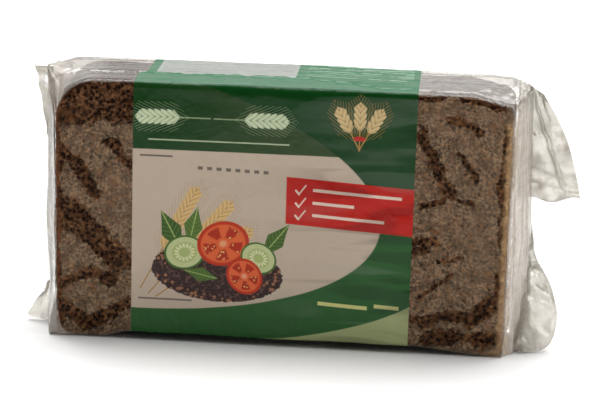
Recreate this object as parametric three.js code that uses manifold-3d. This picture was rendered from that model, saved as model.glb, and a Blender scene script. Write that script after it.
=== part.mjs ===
// A sliced rye loaf, shut in a clear flow-wrapped film bag with a printed band round its middle.
// The bag is sealed all round, so bag and bread are one closed solid with the bag's outer form.
// Millimetres, +Z up, front face towards -Y. The origin is the middle of the bounding box at its foot.
import * as THREE from "three";
import { mergeVertices } from "three/addons/utils/BufferGeometryUtils.js";
import Module from "manifold-3d";

const wasm = await Module();
wasm.setup();

// The loaf as it stands in the bag: seven slices, one behind the other
const LOAF_LENGTH = 165;
const LOAF_DEPTH = 40;
const SLICE_COUNT = 7;
const END_TAPER = 1.4; // how far the loaf's left end draws in towards its foot
const CORNER_ROUND = 15; // radius of the loaf's upper left corner, seen from the front

// The film round it
const BAG_TOP = 97.8; // the film over the rear edge of the loaf
const TOP_FALL = 0.8; // the front edge of the top lies lower than the rear edge by this
const EDGE_RADIUS = 3.2;
const FILM_GAP = 0.6; // between the bread and the film on the front and the back
const SEAL_HALF = 0.8; // half the thickness of the pressed end seals
const LEFT_SEAL = 88.4; // the seal lines, from the middle of the loaf
const RIGHT_SEAL = 91.3;
const SEAL_SPLAY = 4; // how far the right seal spreads from its top to its foot
const SEAL_BULGE = 1; // how far the left seal bulges out below its middle
const FOOT_FLARE = 2.8; // how far the left end's lower corners stand out from the loaf
const BAND_LIFT = 2.4; // the printed middle is pulled tight and stands clear of the table
const SLICE_GROOVE = 0.45; // the hollows between the slices, as they show under the film
const SEAM_STEP = 0.4; // the long seam, where the film laps over itself on top
const SEAM_PLACE = -5; // the seam's edge, across the bag, over the left part of the loaf
const SEAM_DRIFT = -10; // how far it has wandered to the front at the right
const SLACK = 0.35; // shallow waves in the front and back film

// The folded corners of the two ends: how far each tip lies from the middle of the loaf
const LEFT_TIP = 95.2;
const LEFT_UPPER_TIP = 93.5;
const RIGHT_TIP = 108.6;
const RIGHT_PUFF = 102.6;
const EAR_HALF = 0.7; // half the thickness of a flat ear of two films
const PUFF_HALF = 4.6; // half the thickness of the lower right corner, which holds air
const FIN_WIDTH = 8; // the pressed strip at each end, folded back against the rear slope
const FIN_HALF = 0.5;
const CRIMP_PITCH = 3.8;
const CRIMP_HEIGHT = 0.45;
const CRIMP_WIDTH = 1.1;

const MIDDLE_X = (RIGHT_TIP - LEFT_TIP) / 2; // the middle of the bounding box, seen from the loaf's middle

const { clamp, lerp, smoothstep } = THREE.MathUtils;

// Shape of the wrapped loaf along its length

function fullness(x) {
  const past = Math.abs(x) - LOAF_LENGTH / 2;
  const reach = (x < 0 ? LEFT_SEAL : RIGHT_SEAL) - LOAF_LENGTH / 2;
  return Math.pow(clamp(1 - past / reach, 0, 1), 0.9);
}

function halfDepth(x) {
  return lerp(SEAL_HALF, LOAF_DEPTH / 2 + FILM_GAP, fullness(x));
}

function footHeight(x) {
  const left = smoothstep(x, -66, -54);
  const right = 1 - smoothstep(x, 46, 78);
  return BAND_LIFT * left * right;
}

// The long edges of the top fall towards the ends, while the middle of the top stays up.
// At the left the front edge follows the loaf's round corner, and the rear edge stands clear of it.
function edgeDrop(x, rearward) {
  const past = clamp(CORNER_ROUND - (x + LOAF_LENGTH / 2), 0, CORNER_ROUND);
  const corner = CORNER_ROUND - Math.sqrt(CORNER_ROUND ** 2 - past ** 2);
  const right = lerp(2.8 * smoothstep(x, 66, 82), smoothstep(x, 74, 90), rearward);
  return (lerp(0.88, 0.06, rearward) * corner + right) * fullness(x);
}

function topHeight(x, rearward) {
  const crown = 0.5 * Math.cos((x * Math.PI) / 150) - 0.5;
  return BAG_TOP - TOP_FALL * (1 - rearward) + crown - edgeDrop(x, rearward);
}

function slackWave(x, z) {
  return SLACK * Math.sin(x * 0.071 + z * 0.11 + 0.6) * Math.sin(z * 0.083 - x * 0.031);
}

// One closed section across the wrapped loaf, as points of [y, z]

function arc(points, y, z, radiusY, radiusZ, from, steps) {
  for (let i = 0; i < steps; i++) {
    const angle = from + ((i + 0.5) / steps) * (Math.PI / 2);
    points.push([y + radiusY * Math.cos(angle), z + radiusZ * Math.sin(angle)]);
  }
}

function topRelief(x, y, share) {
  const pitch = LOAF_DEPTH / SLICE_COUNT;
  const groove = 0.5 - 0.5 * Math.cos((2 * Math.PI * (y + LOAF_DEPTH / 2)) / pitch);
  const seamEdge = SEAM_PLACE + SEAM_DRIFT * smoothstep(x, 8, 40) + 0.7 * Math.sin(x * 0.31);
  const lap = smoothstep(y, seamEdge - 0.8, seamEdge + 0.8);
  return share * (SLICE_GROOVE * (groove - 1) + SEAM_STEP * lap);
}

const FACE_STEPS = 13;
const TOP_STEPS = 21;
const FOOT_STEPS = 4;
const CORNER_STEPS = 3;

function section(x) {
  const depth = halfDepth(x);
  const share = fullness(x);
  const foot = footHeight(x);
  const radius = Math.min(EDGE_RADIUS, depth * 0.85);
  const frontTop = topHeight(x, 0);
  const rearTop = topHeight(x, 1);
  const frontDrop = edgeDrop(x, 0);
  const rearDrop = edgeDrop(x, 1);
  const footRadius = radius * 0.8;
  const points = [];
  for (let i = 0; i <= FOOT_STEPS; i++) {
    points.push([lerp(-depth + footRadius, depth - footRadius, i / FOOT_STEPS), foot]);
  }
  arc(points, depth - footRadius, foot + footRadius, footRadius, footRadius, -Math.PI / 2, CORNER_STEPS);
  for (let i = 0; i <= FACE_STEPS; i++) {
    const z = lerp(foot + footRadius, rearTop - radius, i / FACE_STEPS);
    points.push([depth + share * slackWave(-x, z), z]);
  }
  arc(points, depth - radius, rearTop - radius, radius, radius, 0, CORNER_STEPS);
  for (let i = 0; i <= TOP_STEPS; i++) {
    const y = lerp(depth - radius, -depth + radius, i / TOP_STEPS);
    const full = lerp(rearTop + rearDrop, frontTop + frontDrop, i / TOP_STEPS);
    const side = (2 * i) / TOP_STEPS - 1;
    const drop = (side > 0 ? frontDrop : rearDrop) * Math.pow(Math.abs(side), 1.5);
    points.push([y, full - drop + topRelief(x, y, share)]);
  }
  arc(points, -depth + radius, frontTop - radius, radius, radius, Math.PI / 2, CORNER_STEPS);
  for (let i = 0; i <= FACE_STEPS; i++) {
    const z = lerp(frontTop - radius, foot + footRadius, i / FACE_STEPS);
    points.push([-depth + share * slackWave(x, z), z]);
  }
  arc(points, -depth + footRadius, foot + footRadius, footRadius, footRadius, Math.PI, CORNER_STEPS);
  return points;
}

// The loaf's left end leans in towards its foot, with the film, and the right seal spreads out there.
// The left seal bulges a little below its middle.

function leaning(x, z) {
  const drawnIn = END_TAPER * (1 - z / BAG_TOP) * smoothstep(-x, 40, LOAF_LENGTH / 2);
  const low = Math.exp(-Math.pow((z - 38) / 16, 2));
  const bulge = SEAL_BULGE * low * smoothstep(-x, LOAF_LENGTH / 2, LEFT_SEAL);
  const splay = SEAL_SPLAY * (0.5 - z / BAG_TOP) * smoothstep(x, LOAF_LENGTH / 2, RIGHT_SEAL);
  return x + drawnIn - bulge + splay;
}

// The lower corners of the left end stand out like the corners of a box

function footFlare(x, z) {
  return FOOT_FLARE * (1 - smoothstep(z, 0, 20)) * smoothstep(-x, 78, LOAF_LENGTH / 2) * fullness(x);
}

// Closed meshes from rings of points, as solids that can be joined

function solidFrom(positions, indices) {
  const geometry = new THREE.BufferGeometry();
  geometry.setAttribute("position", new THREE.Float32BufferAttribute(positions, 3));
  geometry.setIndex(indices);
  const merged = mergeVertices(geometry, 1e-4);
  const mesh = new wasm.Mesh({
    numProp: 3,
    vertProperties: merged.attributes.position.array,
    triVerts: new Uint32Array(merged.index.array),
  });
  return new wasm.Manifold(mesh);
}

function loft(rings) {
  const count = rings[0].length;
  const positions = rings.flat(2);
  const indices = [];
  for (let r = 0; r + 1 < rings.length; r++) {
    for (let i = 0; i < count; i++) {
      const here = r * count + i;
      const next = r * count + ((i + 1) % count);
      indices.push(here, next, next + count, here, next + count, here + count);
    }
  }
  for (const ring of [0, rings.length - 1]) {
    const middle = positions.length / 3;
    for (let k = 0; k < 3; k++) {
      positions.push(rings[ring].reduce((sum, p) => sum + p[k], 0) / count);
    }
    for (let i = 0; i < count; i++) {
      const here = ring * count + i;
      const next = ring * count + ((i + 1) % count);
      indices.push(...(ring === 0 ? [middle, next, here] : [middle, here, next]));
    }
  }
  return solidFrom(positions, indices);
}

function wrappedLoaf() {
  const END_SECTIONS = 6;
  const BODY_SECTIONS = 38;
  const stations = [];
  for (let i = 0; i < END_SECTIONS; i++) {
    stations.push(lerp(-LEFT_SEAL, -LOAF_LENGTH / 2, i / END_SECTIONS));
  }
  for (let i = 0; i <= BODY_SECTIONS; i++) {
    stations.push(lerp(-LOAF_LENGTH / 2, LOAF_LENGTH / 2, i / BODY_SECTIONS));
  }
  for (let i = 1; i <= END_SECTIONS; i++) {
    stations.push(lerp(LOAF_LENGTH / 2, RIGHT_SEAL, i / END_SECTIONS));
  }
  const place = (x, [y, z]) => [leaning(x, z) - footFlare(x, z), y, z];
  return loft(stations.map((x) => section(x).map((point) => place(x, point))));
}

// A flap of two films, from an edge inside the bag to an outer edge.
// inner and outer give [x, z] for t from 0 at the top to 1 at the foot, sway gives the flap's
// place across the bag and half its half-thickness, both for s from the inner to the outer edge.

const FLAP_ACROSS = 9;
const FLAP_DOWN = 14;

function flap(inner, outer, sway, half) {
  const rings = [];
  for (let j = 0; j <= FLAP_DOWN; j++) {
    const t = j / FLAP_DOWN;
    const [x0, z0] = inner(t);
    const [x1, z1] = outer(t);
    const front = [];
    const rear = [];
    for (let i = 0; i <= FLAP_ACROSS; i++) {
      const s = i / FLAP_ACROSS;
      const x = lerp(x0, x1, s);
      const z = lerp(z0, z1, s);
      const y = sway(s, t);
      const thick = half(s, t);
      front.push([x, y - thick, z]);
      rear.push([x, y + thick, z]);
    }
    rings.push([...front, ...rear.reverse()]);
  }
  const made = loft(rings);
  return made.volume() > 0 ? made : loft(rings.reverse());
}

function along(points, t) {
  const place = clamp(t, 0, 1) * (points.length - 1);
  const i = Math.min(Math.floor(place), points.length - 2);
  return points[i].map((value, k) => lerp(value, points[i + 1][k], place - i));
}

function smoothEdge(points) {
  const curve = new THREE.SplineCurve(points.map(([x, z]) => new THREE.Vector2(x, z)));
  return (t) => curve.getPoint(t).toArray();
}

// The upper right ear hangs from the top corner and ends in a stretch of the pressed seal

const UPPER_RIGHT_EDGE = smoothEdge([
  [93.2, 94.6], [97.9, 87.2], [102.9, 77], [106.9, 63.5], [RIGHT_TIP, 55.4],
]);

function upperRightSway(s, t) {
  return -2.6 * s * Math.sin(t * 2.6 + 0.4) + 1.1 * Math.sin(s * 5 + t * 3) * s;
}

function upperRightEar() {
  const inner = (t) => along([[88.6, 97], [90.6, 55]], t);
  const crease = (s, t) => Math.exp(-Math.pow((s - 0.14 - 0.62 * t) / 0.1, 2));
  const half = (s, t) => EAR_HALF + 0.5 * crease(s, t) * (1 - t * 0.5);
  return flap(inner, UPPER_RIGHT_EDGE, upperRightSway, half);
}

function crimpBar(x, y, z, length, tilt) {
  const bar = new THREE.BoxGeometry(length, 2 * (EAR_HALF + CRIMP_HEIGHT), CRIMP_WIDTH);
  bar.deleteAttribute("normal");
  bar.deleteAttribute("uv");
  bar.rotateY(tilt);
  bar.translate(x, y, z);
  return solidFrom([...bar.attributes.position.array], [...bar.index.array]);
}

function upperRightCrimps() {
  const SEAL_WIDTH = 4.6;
  const bars = [];
  const length = 32;
  for (let run = 2; run < length; run += CRIMP_PITCH) {
    const t = 0.22 + (0.74 * run) / length;
    const [x, z] = UPPER_RIGHT_EDGE(t);
    bars.push(crimpBar(x - SEAL_WIDTH / 2 - 0.3, upperRightSway(0.9, t), z, SEAL_WIDTH, 0.06));
  }
  return bars;
}

// The lower right corner is puffed out and stands on the table

function lowerRightPuff() {
  const inner = (t) => along([[89.6, 48], [86.5, 1.4]], t);
  const outer = smoothEdge([
    [91.2, 47.5], [92.6, 40], [93.8, 33.5], [99, 24.5], [101.4, 18],
    [RIGHT_PUFF, 12], [101.4, 5], [97.5, 1], [89.5, 0.5],
  ]);
  const sway = (s, t) => 0.8 * Math.sin(s * 3 + t * 7) * s - 12 * smoothstep(t, 0.35, 1);
  const half = (s, t) => {
    const round = Math.pow(Math.sin(Math.PI * clamp(t, 0.02, 0.98)), 0.6);
    return 0.5 + PUFF_HALF * round * Math.pow(1 - s, 0.55) * (1 - 0.25 * Math.sin(t * 9));
  };
  return flap(inner, outer, sway, half);
}

// The two left ears are short three-cornered folds

function upperLeftEar() {
  const inner = (t) => along([[-86, 96.8], [-85.2, 60]], t);
  const outer = smoothEdge([[-LEFT_UPPER_TIP, 96.4], [-91.8, 87], [-89.7, 79], [-87, 66]]);
  const sway = (s, t) => 1.4 * s * Math.cos(t * 3);
  const half = (s, t) => EAR_HALF * (1.6 - 0.6 * s) * (1 - 0.2 * t);
  return flap(inner, outer, sway, half);
}

function lowerLeftEar() {
  const inner = (t) => along([[-86, 16], [-85.2, 1.5]], t);
  const outer = smoothEdge([
    [-87.6, 15.4], [-89.2, 11.4], [-91.7, 8.2], [-93.4, 5], [-LEFT_TIP, 1.7], [-91, 0.8], [-86.6, 0.6],
  ]);
  const sway = (s, t) => -3 * s + 0.6 * Math.sin(t * 6) * s;
  const half = (s) => EAR_HALF * (1.8 - 0.9 * s);
  return flap(inner, outer, sway, half);
}

// The pressed fin of each end, folded back flat against the rear slope. It leans with the seal.

function foldedFin(side, foot, top) {
  const seal = side < 0 ? LEFT_SEAL : RIGHT_SEAL;
  const run = seal - LOAF_LENGTH / 2;
  const slope = Math.hypot(run, LOAF_DEPTH / 2);
  const strip = (x) => (t) => {
    const z = lerp(top, foot, t);
    return [leaning(side * x, z), z];
  };
  const inner = strip(seal - 0.4);
  const outer = strip(seal + 0.5 - (run * FIN_WIDTH) / slope);
  const sway = (s) => SEAL_HALF * 0.5 + (s * FIN_WIDTH * LOAF_DEPTH) / 2 / slope + 0.4;
  const half = (s, t) => FIN_HALF + 0.15 * Math.sin(t * (top - foot) * 1.4);
  return flap(inner, outer, sway, half);
}

// Everything is film of one piece, so it is joined to one solid

function bagSolid() {
  const parts = [
    upperRightEar(),
    ...upperRightCrimps(),
    lowerRightPuff(),
    upperLeftEar(),
    lowerLeftEar(),
    foldedFin(1, 30, 88),
    foldedFin(-1, 10, 86),
  ];
  return parts.reduce((whole, part) => whole.add(part), wrappedLoaf());
}

function geometryOf(solid) {
  const { vertProperties, triVerts, numProp } = solid.getMesh();
  const geometry = new THREE.BufferGeometry();
  const positions = new Float32Array((vertProperties.length / numProp) * 3);
  for (let i = 0; i < positions.length / 3; i++) {
    positions.set(vertProperties.subarray(i * numProp, i * numProp + 3), i * 3);
  }
  geometry.setAttribute("position", new THREE.BufferAttribute(positions, 3));
  geometry.setIndex(new THREE.BufferAttribute(triVerts, 1));
  geometry.computeVertexNormals();
  return geometry;
}

const film = new THREE.MeshStandardMaterial({ color: 0x5d4f44, roughness: 0.25, metalness: 0 });
const bag = new THREE.Mesh(geometryOf(bagSolid()), film);
bag.name = "bread_bag";
bag.position.x = -MIDDLE_X;

const part = new THREE.Group();
part.add(bag);

export default part;
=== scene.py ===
import itertools
import math

import bpy
import numpy as np
from mathutils import Matrix, Vector


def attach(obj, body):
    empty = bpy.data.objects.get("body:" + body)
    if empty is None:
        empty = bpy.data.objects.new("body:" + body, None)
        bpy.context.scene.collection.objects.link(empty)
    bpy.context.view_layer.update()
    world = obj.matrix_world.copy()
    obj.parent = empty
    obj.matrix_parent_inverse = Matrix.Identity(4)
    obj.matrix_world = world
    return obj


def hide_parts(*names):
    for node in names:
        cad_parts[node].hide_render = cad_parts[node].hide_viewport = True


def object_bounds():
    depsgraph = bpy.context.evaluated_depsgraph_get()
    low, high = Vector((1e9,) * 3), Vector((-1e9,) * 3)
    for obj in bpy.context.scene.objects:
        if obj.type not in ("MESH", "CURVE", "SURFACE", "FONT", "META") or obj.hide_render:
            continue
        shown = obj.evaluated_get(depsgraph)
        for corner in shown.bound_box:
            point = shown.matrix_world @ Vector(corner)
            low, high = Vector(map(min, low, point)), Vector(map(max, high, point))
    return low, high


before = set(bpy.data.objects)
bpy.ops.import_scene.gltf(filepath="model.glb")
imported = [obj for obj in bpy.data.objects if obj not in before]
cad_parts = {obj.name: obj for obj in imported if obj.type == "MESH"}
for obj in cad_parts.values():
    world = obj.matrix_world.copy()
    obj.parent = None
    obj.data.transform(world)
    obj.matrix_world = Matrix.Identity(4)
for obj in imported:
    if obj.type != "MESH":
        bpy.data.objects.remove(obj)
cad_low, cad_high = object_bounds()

# The slices
# A tin-baked loaf of dark whole-grain rye, cut into seven slices that stand one behind the other.
# The crumb is dense, open in small pores and set with whole grains, and a thin crust runs round it.
# Lengths are millimetres from the loaf's middle. The table is at height 0, and -Y is the front.

MM = 0.001
LEFT_TIP = 95.2
LOAF_MIDDLE = cad_low.x / MM + LEFT_TIP
LOAF_HALF = 82.2
SLICE_COUNT = 7
SLICE_PITCH = 5.72
LOAF_FRONT = -20.0
SAW_GAP = 0.12
TOP_LEFT_ROUND = 15.0
TOP_RIGHT_ROUND = 2.5
SMALL_ROUND = 4.0
END_TAPER = 1.4
SEAL_SPLAY = 4.0
SLOPE_START = 82.5
LEFT_SEAL = 88.4
RIGHT_SEAL = 91.3
BAG_TOP = 97.8
TOP_FALL = 0.8
BAND_LIFT = 2.4
SEAL_BULGE = 1.0
FOOT_FLARE = 2.8


def blend(start, end, share):
    return start + (end - start) * share


def smooth(value, start, end):
    """0 before start, 1 past end, and a soft change between them."""
    share = np.clip((value - start) / (end - start), 0, 1)
    return share * share * (3 - 2 * share)


def drawn(cells, seed):
    """An even random number from 0 to 1 for each lattice cell."""
    cells = cells.astype(np.uint64)
    mixed = cells[..., 0] * np.uint64(73856093) ^ cells[..., 1] * np.uint64(19349663)
    mixed = mixed ^ cells[..., 2] * np.uint64(83492791) ^ np.uint64(seed * 2654435761 + 12345)
    for _ in range(2):
        mixed = (mixed ^ (mixed >> np.uint64(15))) * np.uint64(0x2C1B3C6D)
        mixed = mixed & np.uint64(0xFFFFFFFF)
    return (mixed ^ (mixed >> np.uint64(16))).astype(float) / 0xFFFFFFFF


def lumps(points, size, seed):
    """Smooth random values from -1 to 1, in lumps of about this size."""
    place = points / size
    cell = np.floor(place)
    part = place - cell
    part = part * part * (3 - 2 * part)
    cell = cell.astype(np.int64)
    total = 0
    shares = [(1 - part[..., axis], part[..., axis]) for axis in range(3)]
    for i, j, k in itertools.product((0, 1), repeat=3):
        weight = shares[0][i] * shares[1][j] * shares[2][k]
        total = total + weight * drawn(cell + np.array([i, j, k]), seed)
    return 2 * total - 1


def spots(across, up, pitch, seed, least, most):
    """How deep each point lies in the nearest scattered spot: 0 at its rim, 1 in its middle."""
    here = np.stack([across / pitch, up / pitch, np.zeros_like(across)], -1)
    cell = np.floor(here).astype(np.int64)
    deepest = np.zeros(across.shape)
    for step in itertools.product((-1, 0, 1), repeat=2):
        near = cell + np.array([*step, 0])
        centre_x = near[..., 0] + drawn(near, seed)
        centre_y = near[..., 1] + drawn(near, seed + 1)
        radius = blend(least, most, drawn(near, seed + 2) ** 2) / pitch
        tall = blend(0.6, 1.6, drawn(near, seed + 3))
        away = np.hypot((here[..., 0] - centre_x) * tall, (here[..., 1] - centre_y) / tall)
        deepest = np.maximum(deepest, 1 - away / radius)
    return np.clip(deepest, 0, 1)


def foot_height(x):
    return BAND_LIFT * smooth(x, -66, -54) * (1 - smooth(x, 46, 78))


def leaning(x, z):
    """The left end draws in towards its foot, its seal bulges, and the right seal spreads out."""
    drawn_in = END_TAPER * (1 - z / BAG_TOP) * smooth(-x, 40, SLOPE_START)
    bulge = SEAL_BULGE * np.exp(-(((z - 38) / 16) ** 2)) * smooth(-x, SLOPE_START, LEFT_SEAL)
    return x + drawn_in - bulge + SEAL_SPLAY * (0.5 - z / BAG_TOP) * smooth(x, SLOPE_START, RIGHT_SEAL)


def loaf_place(x, z):
    """The same for the loaf, whose lower left corner is drawn in a little more."""
    return leaning(x, z) + 2.0 * (1 - np.clip(z / 14, 0, 1)) ** 2 * smooth(-x, 66, 82)


def round_corner(x, radius=TOP_LEFT_ROUND):
    """How far the loaf's round upper left corner lies below its top."""
    left = np.clip(radius - (x + LOAF_HALF), 0, radius)
    return radius - np.sqrt(radius**2 - left**2)


def slice_top(x, rearward):
    """Height of the bread's upper edge: round at the left end, low at the right one."""
    radius = blend(TOP_LEFT_ROUND, 11, np.clip(3 * rearward, 0, 1))
    level = BAG_TOP - 1.3 - TOP_FALL * (1 - rearward) - round_corner(x, radius)
    right = np.clip(TOP_RIGHT_ROUND - (LOAF_HALF - x), 0, TOP_RIGHT_ROUND)
    level = level - (TOP_RIGHT_ROUND - np.sqrt(TOP_RIGHT_ROUND**2 - right**2))
    return level - 2.7 * smooth(x, 66, 81)


def slice_foot(x):
    side = np.clip(SMALL_ROUND - (LOAF_HALF - np.abs(x)), 0, SMALL_ROUND)
    return foot_height(x) + 0.55 + 0.6 * (SMALL_ROUND - np.sqrt(SMALL_ROUND**2 - side**2))


def column_places(count):
    """Places along the loaf, closer together round its two ends."""
    share = np.linspace(0, 1, count)
    return LOAF_HALF * (0.82 * (2 * share - 1) + 0.18 * np.sin((share - 0.5) * math.pi))


def grid_faces(first, columns, rows, flip=False):
    """Four-cornered faces over a grid of points numbered from first, a column at a time."""
    i, j = np.meshgrid(np.arange(columns - 1), np.arange(rows - 1), indexing="ij")
    a = first + (i * rows + j).ravel()
    corners = [a, a + rows, a + rows + 1, a + 1]
    return np.stack(corners[::-1] if flip else corners, -1)


def rim_of(columns, rows):
    """Numbers of the points round such a grid, seen from its front, against the clock."""
    foot = [i * rows for i in range(columns)]
    right = [(columns - 1) * rows + j for j in range(1, rows)]
    top = [i * rows + rows - 1 for i in range(columns - 2, -1, -1)]
    left = [j for j in range(rows - 2, 0, -1)]
    return np.array(foot + right + top + left)


def crumb_relief(x, z, seed):
    """Depth of the cut face below flat, with how much each point is pore and grain."""
    point = np.stack([x, z, np.zeros_like(x)], -1)
    patch = lumps(point, 14, seed)
    pores = spots(x, z, 2.1, seed + 10, 0.1, 0.85 + 0.35 * patch)
    holes = spots(x, z, 6.5, seed + 20, 0.2, 1.7)
    grains = spots(x + 0.6 * z, z, 7.0, seed + 30, 0.3, 1.9)
    pore = np.maximum(smooth(pores, 0.05, 0.7), smooth(holes, 0.05, 0.6))
    grain = smooth(grains, 0.1, 0.5)
    depth = 0.55 * smooth(pores, 0, 0.9) + 0.8 * smooth(holes, 0, 0.8) - 0.22 * grain
    depth = depth + 0.12 * lumps(point, 1.3, seed + 40) + 0.15 * lumps(point, 9, seed + 41)
    return depth, pore, grain * (1 - pore)


def make_piece(name, points, faces, marks, finish):
    """A smooth piece that rides on the pack, with named values at its points."""
    mesh = bpy.data.meshes.new(name)
    placed = (points + np.array([LOAF_MIDDLE, 0, 0])) * MM
    corners = [face for group in faces for face in group.tolist()]
    mesh.from_pydata(placed.tolist(), [], corners)
    mesh.polygons.foreach_set("use_smooth", np.ones(len(mesh.polygons), dtype=bool))
    for mark, values in marks.items():
        kind, field = ("FLOAT", "value") if values.ndim == 1 else ("FLOAT_VECTOR", "vector")
        stored = mesh.attributes.new(mark, kind, "POINT")
        stored.data.foreach_set(field, np.ascontiguousarray(values, dtype=np.float32).ravel())
    mesh.materials.append(finish)
    mesh.update()
    piece = bpy.data.objects.new(name, mesh)
    bpy.context.scene.collection.objects.link(piece)
    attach(piece, "root")
    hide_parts("bread_bag")


class Value:
    """The output of a node. Python's own signs on it add Math nodes."""

    def __init__(self, nodes, socket):
        self.nodes = nodes
        self.socket = socket

    def math(self, operation, *values):
        return self.nodes.add("ShaderNodeMath", {"operation": operation}, dict(enumerate(values)))

    def __add__(self, other):
        return self.math("ADD", self, other)

    def __sub__(self, other):
        return self.math("SUBTRACT", self, other)

    def __rsub__(self, other):
        return self.math("SUBTRACT", other, self)

    def __mul__(self, other):
        return self.math("MULTIPLY", self, other)

    def __truediv__(self, other):
        return self.math("DIVIDE", self, other)

    def __pow__(self, other):
        return self.math("POWER", self, other)

    def __abs__(self):
        return self.math("ABSOLUTE", self)

    def __mod__(self, other):
        return self.math("FLOORED_MODULO", self, other)

    __radd__ = __add__
    __rmul__ = __mul__

    def least(self, other):
        return self.math("MINIMUM", self, other)

    def most(self, other):
        return self.math("MAXIMUM", self, other)

    def ramp(self, start, end, low=0.0, high=1.0):
        """low up to start, high from end on, and a soft change between them."""
        settings = {"interpolation_type": "SMOOTHSTEP"}
        sockets = {0: self, 1: start, 2: end, 3: low, 4: high}
        return self.nodes.add("ShaderNodeMapRange", settings, sockets)


class Nodes:
    """The nodes of one material or of the world."""

    def __init__(self, tree):
        self.tree = tree
        tree.nodes.clear()

    def add(self, kind, settings, sockets, output=0):
        made = self.tree.nodes.new(kind)
        for name, value in settings.items():
            setattr(made, name, value)
        for name, value in sockets.items():
            if isinstance(value, Value):
                self.tree.links.new(value.socket, made.inputs[name])
            else:
                made.inputs[name].default_value = value
        return Value(self, made.outputs[output])

    def mark(self, name, output="Fac"):
        return self.add("ShaderNodeAttribute", {"attribute_name": name}, {}, output)

    def place(self):
        return self.add("ShaderNodeTexCoord", {}, {}, "Object")

    def noise(self, point, size, detail=2.0, rough=0.5, bend=0.0):
        place = {"Vector": point, "Scale": 1 / size}
        manner = {"Detail": detail, "Roughness": rough, "Distortion": bend}
        return self.add("ShaderNodeTexNoise", {}, {**place, **manner})

    def cells(self, point, size):
        return self.add("ShaderNodeTexVoronoi", {}, {"Vector": point, "Scale": 1 / size})

    def mix(self, share, first, second):
        return self.add("ShaderNodeMix", {"data_type": "RGBA"}, {0: share, 6: first, 7: second}, 2)

    def both(self, share, first, second):
        return self.add("ShaderNodeMixShader", {}, {0: share, 1: first, 2: second})

    def vector(self, operation, first, second=(0, 0, 0), output="Vector"):
        settings = {"operation": operation}
        return self.add("ShaderNodeVectorMath", settings, {0: first, 1: second}, output)

    def part(self, point, axis):
        return self.add("ShaderNodeSeparateXYZ", {}, {0: point}, axis)

    def bump(self, height, depth):
        return self.add("ShaderNodeBump", {}, {"Height": height, "Distance": depth, "Strength": 1.0})

    def end(self, kind, shader):
        out = self.tree.nodes.new(kind)
        self.tree.links.new(shader.socket, out.inputs["Surface"])


def new_finish(name):
    finish = bpy.data.materials.new(name)
    finish.use_nodes = True
    return finish, Nodes(finish.node_tree)


def colour(red, green, blue):
    """A colour as seen on a screen, from 0 to 255, as a shader's value."""
    shares = [channel / 255 for channel in (red, green, blue)]
    return (*[s / 12.92 if s <= 0.04045 else ((s + 0.055) / 1.055) ** 2.4 for s in shares], 1.0)


def rye_finish():
    finish, nodes = new_finish("rye_bread")
    point = nodes.place()
    pore = nodes.mark("pore")
    grain = nodes.mark("grain")
    crust = nodes.mark("crust")
    broad = nodes.noise(point, 9 * MM, 3, 0.6).ramp(0.35, 0.65)
    fine = nodes.noise(point, 1.5 * MM, 3, 0.65).ramp(0.38, 0.62)
    tone = nodes.mix(broad, colour(146, 103, 69), colour(110, 73, 46))
    tone = nodes.mix(fine * 0.9, tone, colour(58, 32, 17))
    reach = 1.1 * MM
    sockets = {"Vector": point, "Scale": 1 / reach, "Detail": 2}
    warp = nodes.add("ShaderNodeTexNoise", {}, sockets, "Color")
    bent = nodes.vector("ADD", point, nodes.vector("MULTIPLY", warp, (reach, reach, reach)))
    # Pinholes: small holes in the crumb, bumped in below and painted dark further down as the shade
    # inside them.
    pinholes = nodes.cells(bent, 1.6 * MM).ramp(0.56, 0.32)
    pinholes = pinholes * nodes.noise(point, 4 * MM, 3).ramp(0.34, 0.46)
    bran = nodes.cells(point, 2.6 * MM).ramp(0.24, 0.12)
    bran = bran * nodes.noise(point, 5 * MM, 1).ramp(0.48, 0.58)
    tone = nodes.mix(bran, tone, colour(178, 132, 88))
    tone = nodes.mix(grain * 0.75, tone, colour(140, 96, 62))
    # Painted shade: pores and pinholes are coloured near black for the shade that falls in the crumb's
    # holes.
    tone = nodes.mix(pinholes.most(pore), tone, colour(32, 15, 7))
    patch = nodes.noise(point, 2.2 * MM, 4, 0.7).ramp(0.3, 0.7)
    rind = nodes.mix(patch, colour(98, 56, 38), colour(50, 29, 20))
    to_left = nodes.part(point, "X").ramp((LOAF_MIDDLE - 78) * MM, (LOAF_MIDDLE - 80) * MM)
    rind = nodes.mix(to_left, rind, nodes.mix(patch, colour(166, 106, 72), colour(104, 64, 43)))
    golden = nodes.mix(patch, colour(238, 200, 150), colour(176, 137, 100))
    to_right = nodes.part(point, "X").ramp((LOAF_MIDDLE + 73.5) * MM, (LOAF_MIDDLE + 77) * MM)
    rind = nodes.mix(to_right * nodes.part(point, "Z").ramp(89 * MM, 84 * MM), rind, golden)
    tone = nodes.mix(crust * 0.85, tone, rind)
    height = fine * 0.4 - pinholes
    sockets = {
        "Base Color": tone,
        "Roughness": 0.75,
        "Specular IOR Level": 0.05,
        "Normal": nodes.bump(height, 0.5 * MM),
    }
    nodes.end("ShaderNodeOutputMaterial", nodes.add("ShaderNodeBsdfPrincipled", {}, sockets))
    return finish


rye = rye_finish()

SHOWN_FACE_GRID = (270, 156)
HIDDEN_FACE_GRID = (130, 78)
CRUST_STEPS = 7


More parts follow.
